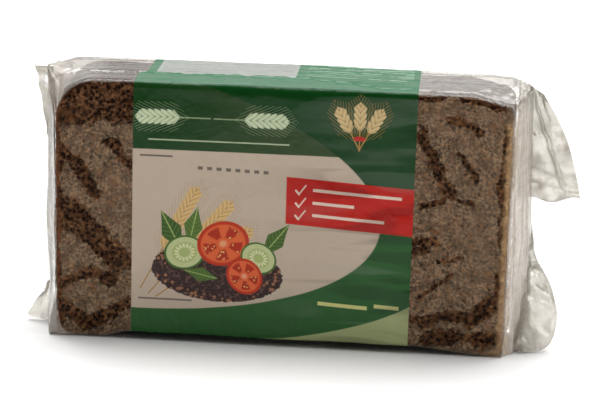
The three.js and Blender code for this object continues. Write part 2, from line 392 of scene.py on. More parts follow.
def make_slice(number):
    """One slice: two cut faces of crumb, pitted with pores, and the crust round its edge."""
    outermost = number in (0, SLICE_COUNT - 1)
    columns, rows = SHOWN_FACE_GRID if outermost else HIDDEN_FACE_GRID
    front = LOAF_FRONT + number * SLICE_PITCH + SAW_GAP / 2
    back = front + SLICE_PITCH - SAW_GAP
    rearward = number / (SLICE_COUNT - 1)
    draw = np.random.default_rng(40 + number)
    aside, aloft = (0, 0) if number == 0 else (draw.uniform(-0.5, 0.5), draw.uniform(-0.5, 0.1))
    longer = draw.uniform(0.6, 1.3) if 0 < number < SLICE_COUNT - 1 else 0

    x = column_places(columns)[:, None] + np.zeros(rows)
    up = np.linspace(0, 1, rows)[None, :]
    flat = np.stack([x, np.full_like(x, front), up + 0 * x], -1)
    top = slice_top(x, rearward) + aloft + 0.25 * lumps(flat * [1, 1, 0], 5, 60 + number)
    z = blend(slice_foot(x), top, up)
    edge = np.minimum(LOAF_HALF - np.abs(x) + 0.4, np.minimum(top - z, z - slice_foot(x)))
    ragged = lumps(np.stack([x, z, np.full_like(x, front)], -1), 2.2, 70 + number)
    widening = smooth(x, LOAF_HALF - 7, LOAF_HALF - 3)
    widening += 0.6 * smooth(-x, LOAF_HALF - 5, LOAF_HALF - 2)
    crust = 1 - smooth(edge + 0.7 * ragged - widening, 0.3, 1.9)
    placed_x = loaf_place(x, z) + aside * 0.6 * (1 - smooth(x, 60, 80)) + longer * smooth(x, 60, 82)

    faces, points, marks = [], [], {"pore": [], "grain": [], "crust": []}
    for level, way in ((front, 1), (back, -1)):
        depth, pore, grain = crumb_relief(x, z, 100 + 7 * number + way)
        outer = number == 0 and way > 0 or number == SLICE_COUNT - 1 and way < 0
        bevel = 1.2 * (1 - smooth(edge, 0, 1.5)) if outer else 0
        depth = np.maximum(depth * smooth(edge, 0, 0.8), -0.25) + bevel
        points.append(np.stack([placed_x, level + way * (0.25 + depth), z], -1).reshape(-1, 3))
        for name, values in (("pore", pore), ("grain", grain), ("crust", crust)):
            marks[name].append((values * (1 - 0.6 * crust * (name != "crust"))).ravel())
        faces.append(grid_faces(0 if way > 0 else columns * rows, columns, rows, flip=way < 0))

    rim = rim_of(columns, rows)
    around = points[0][rim]
    along = np.roll(around, -1, 0) - np.roll(around, 1, 0)
    outward = np.stack([along[:, 2], np.zeros(len(rim)), -along[:, 0]], -1)
    outward /= np.linalg.norm(outward, axis=1, keepdims=True)
    rings = [rim]
    count = 2 * columns * rows
    for step in range(1, CRUST_STEPS):
        share = step / CRUST_STEPS
        ring = blend(points[0][rim], points[1][rim], share)
        bulge = 0.25 * math.sin(share * math.pi) ** 0.5
        rough = 0.16 * lumps(ring, 1.8, 80 + number) + 0.1 * lumps(ring, 0.8, 90 + number)
        points.append(ring + outward * (bulge + rough - 0.1)[:, None])
        marks["crust"].append(np.ones(len(rim)))
        marks["pore"].append(0.5 * smooth(lumps(ring, 1.5, 95 + number), 0.35, 0.8))
        marks["grain"].append(np.zeros(len(rim)))
        rings.append(np.arange(count, count + len(rim)))
        count += len(rim)
    rings.append(rim + columns * rows)
    for near, far in zip(rings, rings[1:]):
        faces.append(np.stack([np.roll(near, -1), near, far, np.roll(far, -1)], -1))

    joined = {name: np.concatenate(values) for name, values in marks.items()}
    make_piece(f"slice_{number + 1}", np.concatenate(points), faces, joined, rye)


for slice_number in range(SLICE_COUNT):
    make_slice(slice_number)

# The wrapped body of the bag
# One sheet of thin polypropylene film, wrapped round the loaf and lapped along the top.
# It's drawn tight by the sealing, so it lies flat on the cut faces and crumples towards its ends,
# which slope like a roof to an upright seal. The printed middle is a piece of its own, below.

FILM_GAP = 0.6
SEAL_HALF = 0.8
EDGE_RADIUS = 2.8
BAND_LEFT = -53.6
BAND_RIGHT = 48.3
BAND_SHIFT = 2.8  # the lapped layer was wrapped this much out of line
SEAM_STEP = 0.4
TOP_STARTS = 97  # where the top begins and ends, in millimetres round the sheet
TOP_ENDS = 139
# The sheet's spans along the pack: left slope, left end, print, right end and right slope.
SPAN_STOPS = (-LEFT_SEAL, -SLOPE_START, BAND_LEFT, BAND_RIGHT, SLOPE_START, RIGHT_SEAL)
SPAN_COLUMNS = (25, 55, 149, 63, 35)


def fullness(x):
    """1 along the loaf, falling to 0 at the two seals."""
    reach = np.where(x < 0, LEFT_SEAL, RIGHT_SEAL) - SLOPE_START
    return np.clip(1 - (np.abs(x) - SLOPE_START) / reach, 0, 1) ** 0.9


def edge_drop(x, rearward):
    """How far the top's long edges fall towards the ends, where the middle of the top stays up."""
    right = blend(2.8 * smooth(x, 66, 82), smooth(x, 74, 90), rearward)
    return (blend(0.88, 0.06, rearward) * round_corner(x) + right) * fullness(x)


def bag_top(x, rearward):
    crown = 0.5 * np.cos(x * math.pi / 150) - 0.5
    return BAG_TOP - TOP_FALL * (1 - rearward) + crown - edge_drop(x, rearward)


def seam_place(x):
    """Where the lap's edge runs on top, across the bag."""
    return -5 - 10 * smooth(x, 8, 40) + 0.7 * np.sin(x * 0.31) + 0.4 * np.sin(x * 0.83 + 1)


def quarter(y, z, radius, start, count):
    """A quarter of a circle, turning with the clock from its start."""
    angle = start - (np.arange(count) + 0.5) / count * math.pi / 2
    return y + radius * np.cos(angle), z + radius * np.sin(angle)


def bag_sections(x):
    """Closed sections round the bag, from the front's foot over the top and down the rear."""
    x = x[:, None]
    depth = blend(SEAL_HALF, -LOAF_FRONT + FILM_GAP, fullness(x))
    radius = np.minimum(EDGE_RADIUS, depth * 0.85)
    foot = foot_height(x)
    front_drop, rear_drop = edge_drop(x, 0), edge_drop(x, 1)
    front_top, rear_top = bag_top(x, 0), bag_top(x, 1)
    low = radius * 0.8
    face = np.linspace(0, 1, 118)
    across = np.linspace(0, 1, 78)
    side = 2 * across - 1
    full = blend(front_top + front_drop, rear_top + rear_drop, across)
    drop = np.where(side < 0, front_drop, rear_drop) * np.abs(side) ** 1.5
    under = np.linspace(0, 1, 34)[1:-1]
    parts = [
        quarter(-depth + low, foot + low, low, -math.pi / 2, 6),
        (-depth + 0 * face, blend(foot + low, front_top - radius, face)),
        quarter(-depth + radius, front_top - radius, radius, math.pi, 8),
        (blend(-depth + radius, depth - radius, across), full - drop),
        quarter(depth - radius, rear_top - radius, radius, math.pi / 2, 8),
        (depth + 0 * face, blend(rear_top - radius, foot + low, face)),
        quarter(depth - low, foot + low, low, 0, 6),
        (blend(depth - low, -depth + low, under), foot + 0 * under),
    ]
    return np.concatenate([np.stack(np.broadcast_arrays(y, z), -1) for y, z in parts], 1)


def folds(points, size, seed, waves=5):
    """Flat facets with sharp creases between them, as in crumpled film, from about -1 to 1."""
    draw = np.random.default_rng(seed)
    total = np.zeros(points.shape[:-1])
    for wave in range(waves):
        way = draw.normal(size=3)
        pitch = size * draw.uniform(0.7, 1.6)
        place = points @ (way / np.linalg.norm(way)) / pitch + draw.uniform()
        place = place + 0.55 * lumps(points, 1.7 * pitch, seed + wave)
        total = total + 2 * np.abs(2 * (place % 1) - 1) - 1
    return total / math.sqrt(waves)


def normals_of(points):
    """Outward directions over a grid that closes on itself in its second index."""
    along = np.gradient(points, axis=0)
    around = np.roll(points, -1, 1) - np.roll(points, 1, 1)
    out = np.cross(along, around)
    return out / np.maximum(np.linalg.norm(out, axis=-1, keepdims=True), 1e-9)


# Where each pleat stands along the pack, and its width.
PLEATS = ((85.2, 0.35), (87.8, 0.28), (89.4, 0.22), (-86.2, 0.3))


def pleats(x, z):
    """Upright ridges that the sealing pulled into the two end slopes, 1 on a crest."""
    total = np.zeros(x.shape)
    for number, (place, width) in enumerate(PLEATS):
        wander = 0.35 * np.sin(z * 0.09 + number * 2) + 0.2 * np.sin(z * 0.31 + number)
        total = np.maximum(total, np.exp(-(((x - place - wander) / width) ** 2)))
    return total


def bag_grid():
    """The wrapped sheet's points, their places on the flat sheet, and how misted it is there."""
    spans = zip(SPAN_STOPS, SPAN_STOPS[1:], SPAN_COLUMNS)
    places = [np.linspace(start, stop, columns + 1)[:-1] for start, stop, columns in spans]
    x = np.concatenate([*places, [RIGHT_SEAL]])
    sections = bag_sections(x)
    middle = sections[len(x) // 2]
    run = np.concatenate([[0], np.cumsum(np.linalg.norm(np.diff(middle, axis=0), axis=1))])
    wrap = run - np.interp(50, middle[:80, 1], run[:80]) + 50
    x = x[:, None] + 0 * wrap
    y, z = sections[..., 0], sections[..., 1]
    on_top = smooth(wrap, TOP_STARTS - 5, TOP_STARTS) * (1 - smooth(wrap, TOP_ENDS - 5, TOP_ENDS))
    behind = smooth(y, seam_place(x) - 0.6, seam_place(x) + 0.6)
    lapped = np.where(wrap > 140, 1, np.where(wrap > 90, behind, 0))
    near_band = np.clip(1 - np.abs(x - BAND_LEFT) / 14, 0, 1)
    x = x + BAND_SHIFT * lapped * near_band * (1 - smooth(wrap, 228, 236))
    flare = FOOT_FLARE * (1 - smooth(z, 0, 20)) * smooth(-x, 78, SLOPE_START) * fullness(x)
    points = np.stack([leaning(x, z) - flare, y, z], -1)

    share = fullness(x)
    roof = 1 - smooth(share, 0.75, 1.0)
    veiled = 1 - smooth(share, 0.5, 1.0)
    flat = np.stack([x, wrap + 0 * x, 0 * x], -1)
    clear = np.maximum(smooth(-x, 52, 58), smooth(x, 47, 53))
    to_end = smooth(np.abs(x), 50, 84)
    top_edge = np.exp(-(((wrap - TOP_STARTS) / 3.5) ** 2))
    aslant = (x - 70) * 0.5
    facet = smooth(x, 66, 76) * on_top * (1 - smooth(y, aslant - 6, aslant - 1))
    seam_line = np.exp(-(((y - seam_place(x)) / 1.2) ** 2)) * on_top

    # How far each point rises from the smooth bag.
    rise = 0.3 * lumps(flat, 24, 301) * (1 - on_top) + 0.16 * lumps(flat, 9, 302) * (1 - on_top)
    rise += (0.1 + 0.06 * clear) * on_top * folds(flat * [0.07, 1, 1], 4.4, 303, 4)
    rise += 0.12 * on_top * lumps(flat * [0.12, 1, 1], 2.0, 305)
    rise += SEAM_STEP * (lapped - 1) * on_top
    rise += 0.22 * seam_line * folds(flat, 7, 306, 3)
    rise += (0.06 + 0.3 * to_end) * clear * top_edge * folds(flat, 5, 307)
    rise += 0.5 * facet * folds(flat, 4.2, 308, 4)
    rise += 0.18 * clear * to_end * (1 - roof) * folds(flat * [1, 0.45, 1], 8, 309)
    upright = 0.05 * folds(points * [2.2, 0.4, 0.10], 5, 310, 4)
    upright += 0.12 * folds(points * [1, 1, 0.5], 9, 311)
    rise += roof * (0.4 + 0.6 * (x > 0)) * upright
    pleat = pleats(x, z)
    rise += 0.6 * pleat * roof
    shown = (1 - on_top) * (1 - clear)
    shallow = 0.25 + 0.75 * smooth(x, -12, 24)
    rise += 0.30 * shown * shallow * folds(flat * [0.26, 1, 1], 13, 315, 3)
    rise += 0.26 * shown * np.exp(-(((wrap - 88) / 5) ** 2)) * folds(flat * [0.2, 1, 1], 8, 316, 3)
    rise += 0.04 * folds(flat, 3.0, 312)
    fade = smooth(share, 0.0, 0.25)
    under = smooth(wrap, 232, 238)
    inward = -0.4 * (1 - roof) - 1.2 * roof
    rise = np.maximum(rise, inward) * (0.15 + 0.85 * fade) * (1 - 0.85 * under)
    points = points + normals_of(points) * rise[..., None]
    points[..., 2] = np.maximum(points[..., 2], 0.02)

    # How much mist the film bears, where it lies off the bread.
    streaks = 0.5 + 0.5 * folds(flat * [0.05, 1, 1], 2.4, 313, 3)
    lines = np.clip(folds(points * [1, 1, 0.12], 3.2, 314, 3), 0, 1)
    by_bread = smooth(share, 0.7, 0.95) * (1 - on_top) * (x > 0)
    mist = 0.34 - 0.22 * by_bread + on_top * (0.27 * (x > 0) - 0.25 + 0.14 * streaks)
    mist += veiled * (0.30 + 0.06 * (x > 0) + 0.06 * lines + 0.3 * pleat * (x > 0))
    mist += 0.14 * smooth(x, 84.5, 87) * (1 - smooth(z, 24, 34))
    mist += 0.3 * smooth(-x, 62, 74) * smooth(z, 84, 92)
    mist += 0.6 * smooth(-x, 80, 83) * (1 - smooth(z, 5, 20))
    mist *= 1 - 0.5 * clear * top_edge
    mist *= 1 - 0.6 * roof * smooth(y, 0, 3) * (1 - on_top)
    mist += 0.25 * facet * (folds(flat, 4.2, 308, 4) > 0.55)
    return points, flat, mist


bag_points, bag_flat, bag_mist = bag_grid()
first_printed = sum(SPAN_COLUMNS[:2])
last_printed = first_printed + SPAN_COLUMNS[2]


def close_ring(grid):
    return np.concatenate([grid, grid[:, :1]], 1)


# The clear film's finish
# Thin glossy film: mostly see-through, mirror-like where it slopes away, and misted where it stands
# off the moist bread. Where it clings to the crumb it vanishes, and the dark pores show sharply.

# Where the film clings: from one point on the cut face to another, and how wide.
RIGHT_CLINGS = (
    ((49, 81), (62, 60), 4.5), ((63.5, 75), (71, 66), 1.6), ((60, 87.5), (72, 82.5), 2.8),
    ((48, 95), (64, 95.6), 1.8), ((51, 55), (59, 57), 2.4), ((65, 58.5), (70, 57), 1.6),
    ((55.6, 47), (58, 45), 1.8), ((47, 41), (56, 42), 4.0), ((47, 37), (53, 39), 2.6),
    ((57, 36), (66, 36.6), 1.5), ((52, 21), (62, 30), 1.6), ((47, 12), (70, 15), 4.6),
    ((70, 14), (82, 23), 6.0), ((56, 6.5), (82, 7), 5.0), ((80.2, 84), (81.2, 24), 3.4),
    ((64, 95.4), (80, 91.6), 2.2),
)
LEFT_CLINGS = (
    ((-81, 92), (-54, 91), 9), ((-80, 84), (-54, 85), 7), ((-81, 70), (-74, 66), 4),
    ((-75, 66), (-69, 57), 4), ((-81, 50), (-58, 30), 8), ((-78, 20), (-69, 25), 3),
    ((-69, 25), (-61, 23), 3), ((-80, 13), (-72, 7), 4), ((-71, 5), (-55, 13), 3.4),
    ((-69, 55), (-66, 54), 3), ((-62, 74), (-55, 67), 3), ((-81, 82), (-80, 4), 2.2),
)


def stroked(x, z, strokes):
    """1 on the spine of the nearest stroke, 0.5 at its rim and 0 at twice its width."""
    nearest = np.zeros(x.shape)
    place = np.stack([x, z, 0 * x], -1)
    x = x + 1.3 * lumps(place, 5, 331) + 0.5 * lumps(place, 2, 332)
    z = z + 1.3 * lumps(place, 5, 333) + 0.5 * lumps(place, 2, 334)
    for start, end, width in strokes:
        reach = np.subtract(end, start)
        out, up = x - start[0], z - start[1]
        share = np.clip((out * reach[0] + up * reach[1]) / (reach @ reach), 0, 1)
        away = np.hypot(out - share * reach[0], up - share * reach[1])
        nearest = np.maximum(nearest, 1 - away / width)
    return nearest


MIST_DEPTH = 0.37
BACKLIT_SHARE = 0.35


def clear_finish():
    finish, nodes = new_finish("clear_film")
    flat = nodes.mark("sheet", "Vector")
    point = nodes.place()
    bread = nodes.mark("bread")
    swirl = nodes.noise(nodes.vector("MULTIPLY", flat, (0.8, 1.1, 1)), 13, 3, 0.6, 1.4)
    speckle = nodes.noise(flat, 1.8, 4, 0.7)
    speck = nodes.noise(flat, 1.1, 2, 0.6)
    cling = nodes.mark("cling") + (swirl - 0.5) * 0.9 + (speckle - 0.5)
    grey = nodes.noise(flat, 5, 4, 0.6).ramp(0.3, 0.7, 0.66, 1.3) * speck.ramp(0.3, 0.7, 0.7, 1.3)
    drift = nodes.add("ShaderNodeTexNoise", {}, {"Vector": flat, "Scale": 0.6}, "Color")
    wander = nodes.vector("ADD", flat, drift)
    dry = nodes.cells(wander, 2.1).ramp(0.46, 0.18) * nodes.noise(flat, 6, 2).ramp(0.42, 0.55)
    misted = cling.ramp(0.56, 0.42) * grey * (1 - dry * 0.6) * MIST_DEPTH + 0.004
    cloud = nodes.noise(flat, 4, 4, 0.65).ramp(0.3, 0.7, 0.8, 1.2)
    alone = (nodes.mark("mist") * cloud).least(0.95)
    crinkle = nodes.noise(point, 2.6 * MM, 5, 0.65, 0.8)
    crease = abs(nodes.noise(point, 6 * MM, 3, 0.5, 1.2) - 0.5)
    normal = nodes.bump(crinkle * 0.3 + crease * 2.0, 0.22 * MM)

    def sheet_with(milk, tint, mist):
        """The film without its shine: clear, with a share of pale mist on its inner side."""
        through = nodes.add("ShaderNodeBsdfTransparent", {}, {"Color": tint})
        front = nodes.add("ShaderNodeBsdfDiffuse", {}, {"Color": milk, "Normal": normal})
        behind = nodes.add("ShaderNodeBsdfTranslucent", {}, {"Color": milk, "Normal": normal})
        return nodes.both(mist, through, nodes.both(BACKLIT_SHARE, front, behind))

    loose = sheet_with((0.70, 0.655, 0.59, 1), (0.90, 0.89, 0.86, 1), alone)
    on_bread = sheet_with((0.66, 0.455, 0.285, 1), (0.93, 0.92, 0.90, 1), misted)
    sockets = {"Color": (1, 1, 1, 1), "Roughness": 0.09, "Normal": normal}
    mirror = nodes.add("ShaderNodeBsdfGlossy", {}, sockets)
    shine = nodes.add("ShaderNodeFresnel", {}, {"IOR": 1.5, "Normal": normal})
    shine = (shine * nodes.mark("gloss")).least(0.9)
    film = nodes.both(shine, nodes.both(bread, loose, on_bread), mirror)
    nodes.end("ShaderNodeOutputMaterial", film)
    return finish


clear_film = clear_finish()
FILM_GLOSS = 1.2


def film_marks(points, sheet, mist):
    """Where the film lies on the bread, clings to it, is misted and shines, for its finish."""
    x, y, z = np.moveaxis(points, -1, 0)
    on_face = np.abs(y) > -LOAF_FRONT - 1.2
    loaf_x = 2 * x - loaf_place(x, z)
    above = np.minimum(slice_top(loaf_x, 0 * x) - z, z - slice_foot(loaf_x))
    bread = on_face * smooth(above, -0.3, 0.5) * smooth(LOAF_HALF - np.abs(loaf_x), -0.6, 0.2)
    seen_x = np.where(y < 0, x, -x)
    cling = stroked(seen_x, z, RIGHT_CLINGS + LEFT_CLINGS) + 0.13 * (seen_x < 0)
    on_edge = np.exp(-(((sheet[..., 1] - TOP_STARTS - 0.5) / 3) ** 2))
    gloss = FILM_GLOSS - 1.12 * bread - 0.6 * on_edge * (1 - bread)
    gloss -= 0.5 * smooth(-x, 80, 84) * smooth(z, 8, 24)
    marks = {"bread": bread, "cling": cling, "mist": mist, "gloss": gloss}
    return {"sheet": sheet.reshape(-1, 3), **{name: values.ravel() for name, values in marks.items()}}


for name, span in (("left", slice(0, first_printed + 1)), ("right", slice(last_printed, None))):
    grid, sheet, mist = (close_ring(values[span]) for values in (bag_points, bag_flat, bag_mist))
    faces, marks = [grid_faces(0, *grid.shape[:2])], film_marks(grid, sheet, mist)
    make_piece(f"film_{name}_end", grid.reshape(-1, 3), faces, marks, clear_film)

# The printed middle
# The same film, printed on its inner side in dark green, light green, cream and red, with a glossy
# outer side. Its picture is a plain still life of grain, tomato, cucumber and leaves.

DARK_GREEN = colour(14, 64, 22)
FOOT_GREEN = colour(44, 96, 45)
LIGHT_GREEN = colour(55, 76, 43)
CREAM = colour(204, 185, 165)
RED = colour(198, 34, 24)
OLIVE = colour(174, 182, 130)
PALE = colour(214, 226, 188)
WHITE = colour(146, 150, 144)
INK = colour(48, 44, 40)
INK_BLUR = 0.09


class Print(Nodes):
    """Fields of colour laid over each other, in millimetres along and round the sheet."""

    def __init__(self, tree):
        super().__init__(tree)
        sheet = self.mark("sheet", "Vector")
        self.point = self.vector("MULTIPLY", sheet, (1, 1, 0))
        self.x = self.part(self.point, "X")
        self.y = self.part(self.point, "Y")
        self.ink = self.mix(self.y.ramp(36, 62), FOOT_GREEN, DARK_GREEN)

    def inside(self, depth, blur=INK_BLUR):
        """1 where the depth into a shape is above 0, with a narrow soft rim."""
        sockets = {0: depth, 1: -blur, 2: blur, 3: 0.0, 4: 1.0}
        return self.add("ShaderNodeMapRange", {}, sockets)

    def tint(self, ink, share):
        self.ink = self.mix(share, self.ink, ink)

    def lay(self, ink, depth, strength=None, blur=INK_BLUR):
        """Lays an ink over a shape, whole or at a strength that may vary."""
        share = self.inside(depth, blur)
        self.tint(ink, share * strength if strength else share)

    def frame_at(self, centre, size=(1, 1), angle=0.0):
        """The sheet's points in a shape's own frame."""
        sockets = {
            "Vector": self.point,
            "Location": (*centre, 0),
            "Rotation": (0, 0, math.radians(angle)),
            "Scale": (*size, 1),
        }
        return self.add("ShaderNodeMapping", {"vector_type": "TEXTURE"}, sockets)

    def oval(self, centre, size, angle=0.0):
        local = self.frame_at(centre, size, angle)
        return (1 - self.vector("LENGTH", local, output="Value")) * min(size), local

    def block(self, left, right, low, high, slope=0.0):
        """Depth into an upright-sided field whose long sides may slope."""
        level = self.y - (self.x - left) * slope if slope else self.y
        beside = (self.x - left).least(right - self.x)
        return beside.least((level - low).least(high - level))

    def stroke(self, start, end, width):
        """Depth into a straight stroke with round ends."""
        reach = Vector(end) - Vector(start)
        angle = math.degrees(math.atan2(reach.y, reach.x))
        local = self.frame_at(start, (reach.length, reach.length), angle)
        along = self.part(local, "X").most(0).least(1)
        spine = self.add("ShaderNodeCombineXYZ", {}, {"X": along})
        away = self.vector("DISTANCE", local, spine, "Value")
        return width / 2 - away * reach.length

    def leaf(self, centre, length, width, angle):
        """Depth into a pointed leaf, and its points: -1 to 1 along, and across from its rib."""
        local = self.frame_at(centre, (length / 2, width / 2), angle)
        along = self.part(local, "X")
        across = abs(self.part(local, "Y"))
        body = (1 - along * along).least(1 - abs(along))
        return (body * (1 - 0.15 * along).most(0.2) - across) * width * 0.5, along, across


def grain_ear(paper, foot, length, angle, ink, shade, width=3.0):
    """A ripe ear on its stalk: plump grains in pairs up both sides, with fine bristles."""
    local = paper.frame_at(foot, (1, 1), angle)
    along = paper.part(local, "X")
    across = abs(paper.part(local, "Y"))
    start, pitch = length * 0.38, 2.3
    stalk = (0.22 - across).least((along + 0.5).least(length - along))
    cell = ((along - across * 1.25 - start) % pitch) - pitch / 2
    grain_x = cell / (pitch * 0.56)
    grain_y = (across - width * 0.30) / (width * 0.34)
    grain = 1 - (grain_x * grain_x + grain_y * grain_y) ** 0.5
    in_ear = (along - start - across).least(length - along - across * 0.8)
    bristle_cell = ((along - across * 2.2 - start) % pitch) - pitch / 2
    bristle = (0.10 - abs(bristle_cell) * 0.4).least(in_ear + 3.2).least(width * 1.25 - across)
    grain = (grain * 0.8).least(in_ear)
    paper.lay(shade, bristle, 0.5)
    paper.lay(shade, stalk)
    paper.lay(ink, grain)
    paper.lay(shade, grain, grain_x.ramp(0.1, -0.9) * 0.7)


def cut_round(paper, centre, size, angle, sectors):
    """Depth into a cut round, the reach from its middle, and the place across its sectors."""
    depth, local = paper.oval(centre, size, angle)
    reach = paper.vector("LENGTH", local, output="Value")
    sockets = {0: paper.part(local, "Y"), 1: paper.part(local, "X")}
    turn = paper.add("ShaderNodeMath", {"operation": "ARCTAN2"}, sockets)
    return depth, reach, (turn * (sectors / math.tau) % 1 - 0.5) * (math.tau / sectors) * reach


def cut_tomato(paper, centre, radius, angle):
    depth, reach, across = cut_round(paper, centre, (radius, radius * 0.86), angle, 5)
    paper.lay(colour(196, 52, 22), depth)
    paper.lay(colour(232, 104, 54), depth, reach.ramp(0.9, 0.8))
    hollow = (reach - 0.28).least(0.76 - reach).least(0.36 * reach - abs(across)) * radius
    paper.lay(colour(184, 44, 16), hollow, blur=0.25)
    seeds = paper.cells(paper.point, 1.25).ramp(0.34, 0.24)
    paper.lay(colour(238, 190, 110), hollow - 0.2, seeds)
    paper.lay(colour(244, 176, 130), 0.14 - reach, 0.8, 0.05)


def cut_cucumber(paper, centre, radius, angle):
    depth, reach, across = cut_round(paper, centre, (radius, radius * 0.84), angle, 15)
    paper.lay(colour(70, 108, 42), depth)
    paper.lay(colour(200, 208, 150), depth - radius * 0.09)
    paper.lay(colour(176, 190, 118), 0.6 - reach, blur=0.06)
    seed = 1 - ((across / 0.06) ** 2 + ((reach - 0.4) / 0.13) ** 2)
    paper.lay(colour(226, 226, 178), seed, blur=0.2)


def green_leaf(paper, centre, length, width, angle, ink):
    depth, along, across = paper.leaf(centre, length, width, angle)
    paper.lay(ink, depth)
    veins = (along * 4.5 - across * 1.6) % 1 - 0.5
    paper.lay(colour(150, 172, 96), depth - 0.2, abs(veins).ramp(0.09, 0.02) * 0.5)
    paper.lay(colour(160, 180, 104), depth - 0.1, across.ramp(0.09, 0.03))


def rye_round(paper, centre, size, angle):
    """A dark round of bread, seen from above, with a paler rim of whole grains."""
    depth, local = paper.oval(centre, size, angle)
    rough = paper.noise(paper.point, 1.6, 3, 0.7)
    edge = depth + (rough - 0.5) * 1.6
    paper.lay(colour(52, 32, 28), edge)
    paper.lay(colour(104, 74, 66), edge - 0.4, rough.ramp(0.5, 0.62))
    kernels = paper.cells(paper.point, 1.9)
    rim = paper.inside(edge) * paper.inside(2.6 - edge, 0.4)
    paper.tint(colour(176, 120, 84), rim * kernels.ramp(0.36, 0.28) * 0.8)


def still_life(paper):
    for foot, length, angle in (((-50, 20), 44, 62), ((-47, 18), 47, 50), ((-44, 17), 44, 38)):
        grain_ear(paper, foot, length, angle, colour(226, 190, 128), colour(176, 132, 70), 4.2)
    rye_round(paper, (-22, 27), (24, 11), -3)
    green_leaf(paper, (-39, 42), 17, 8, 118, colour(60, 92, 34))
    green_leaf(paper, (-31, 44), 15, 7, 78, colour(86, 116, 48))
    green_leaf(paper, (-1, 40), 16, 7, 52, colour(70, 102, 38))
    cut_cucumber(paper, (-34, 34), 7.6, 15)
    cut_tomato(paper, (-20, 38), 9.6, 20)
    cut_cucumber(paper, (-7, 33), 6.8, -30)
    cut_tomato(paper, (-12, 26), 7.2, -50)
    green_leaf(paper, (-28, 26), 13, 5.5, 168, colour(78, 110, 44))


def title_ornament(paper):
    """Two long ears of grain lying foot to foot, over a thin rule."""
    for foot, angle in ((-24, 0), (-26, 180)):
        grain_ear(paper, (foot, 84), 27, angle, PALE, colour(150, 168, 128), 4.4)
    paper.lay(PALE, paper.block(-48, 3, 75.4, 75.9), 0.7)


def corner_seal(paper):
    """A plain upright sheaf of three ears, tied in red."""
    for angle in (62, 118, 90):
        grain_ear(paper, (28, 75), 17.5, angle, colour(224, 196, 140), colour(184, 140, 78), 3.6)
    paper.lay(RED, paper.oval((28, 79), (2.2, 0.9))[0])


def red_field(paper):
    """The red field at the right, with three ticks and three plain bars."""
    slope = -0.056
    paper.lay(RED, paper.block(2.4, 60, 46.5, 63.9, slope))
    for level, right in ((59.0, 44), (54.3, 27), (49.7, 38)):
        knee = (7.0, level - 1.3)
        tick = paper.stroke((5.9, level), knee, 0.75)
        tick = tick.most(paper.stroke(knee, (9.4, level + 2.0), 0.5))
        bar = paper.block(12, right, level - 0.15, level + 0.95, slope)
        paper.lay(colour(240, 214, 196), tick.most(bar))


SWEEP_CENTRE = (-89.05, 61.95)
SWEEP_SIZE = (126.8, 47.1)
SWEEP_TILT = -7.9


def front_fields(paper):
    """The cream field inside a wide light sweep, an olive corner, and plain bars and dashes."""
    sweep = paper.oval(SWEEP_CENTRE, SWEEP_SIZE, SWEEP_TILT)[0]
    outer = paper.oval(SWEEP_CENTRE, [half * 1.24 for half in SWEEP_SIZE], SWEEP_TILT)[0]
    on_front = paper.inside(TOP_STARTS + 0.5 - paper.y, 0.2)
    paper.lay(LIGHT_GREEN, sweep, on_front * paper.x.ramp(-46, 4, 0.15, 1.0))
    paper.lay(CREAM, sweep.least(72.0 - paper.y))
    paper.lay(OLIVE, 0 - outer, paper.inside(40 - paper.y) * paper.inside(paper.x + 10))
    for left, right in ((15, 33), (35.5, 44.5)):
        paper.lay(colour(216, 214, 140), paper.block(left, right, 16.6, 18.0, -0.05))
    dashes = paper.block(-30, -4, 65.2, 66.4, -0.03).least(0.9 - abs(paper.x % 3.4 - 1.7))
    paper.lay(INK, dashes, 0.75)
    paper.lay(INK, paper.block(-51, -39, 69.3, 70.0), 0.75)
    paper.lay(INK, paper.block(-51, -31, 15.6, 16.3), 0.7)


def top_fields(paper):
    """The lapped layer on top: a white panel with plain rules, and green with pale rules; the green is
    laid lighter over the whole top as painted sheen.
    """
    panel = paper.block(-47.5, 3.5, 112, TOP_ENDS + 0.5)
    rules = abs(paper.y % 3.1 - 1.55) - 1.25
    broken = paper.noise(paper.point, 6, 2).ramp(0.42, 0.5)
    ruled = paper.inside(rules, 0.15) * broken
    before_rear = paper.inside(TOP_ENDS - 1 - paper.y, 1.0)
    # Painted sheen: a lighter green over the whole top stands in for the light that the top face
    # catches.
    paper.lay(colour(56, 106, 76), paper.y - TOP_STARTS, before_rear, 1.0)
    paper.lay(WHITE, panel)
    paper.lay(colour(120, 124, 122), panel - 1.5, ruled)
    paper.lay(colour(168, 196, 172), paper.block(7, 46, 114, 137), ruled * 0.8)


def rear_fields(paper):
    """The rear, down from the top: a cream panel with plain rules on green."""
    paper.lay(CREAM, paper.block(-44, 38, 156, 214))
    rules = abs(paper.y % 4.2 - 2.1) - 1.8
    paper.lay(colour(120, 128, 110), paper.block(-39, 33, 166, 208), paper.inside(rules, 0.15))
    paper.lay(colour(60, 96, 56), paper.block(-39, 4, 160, 162))


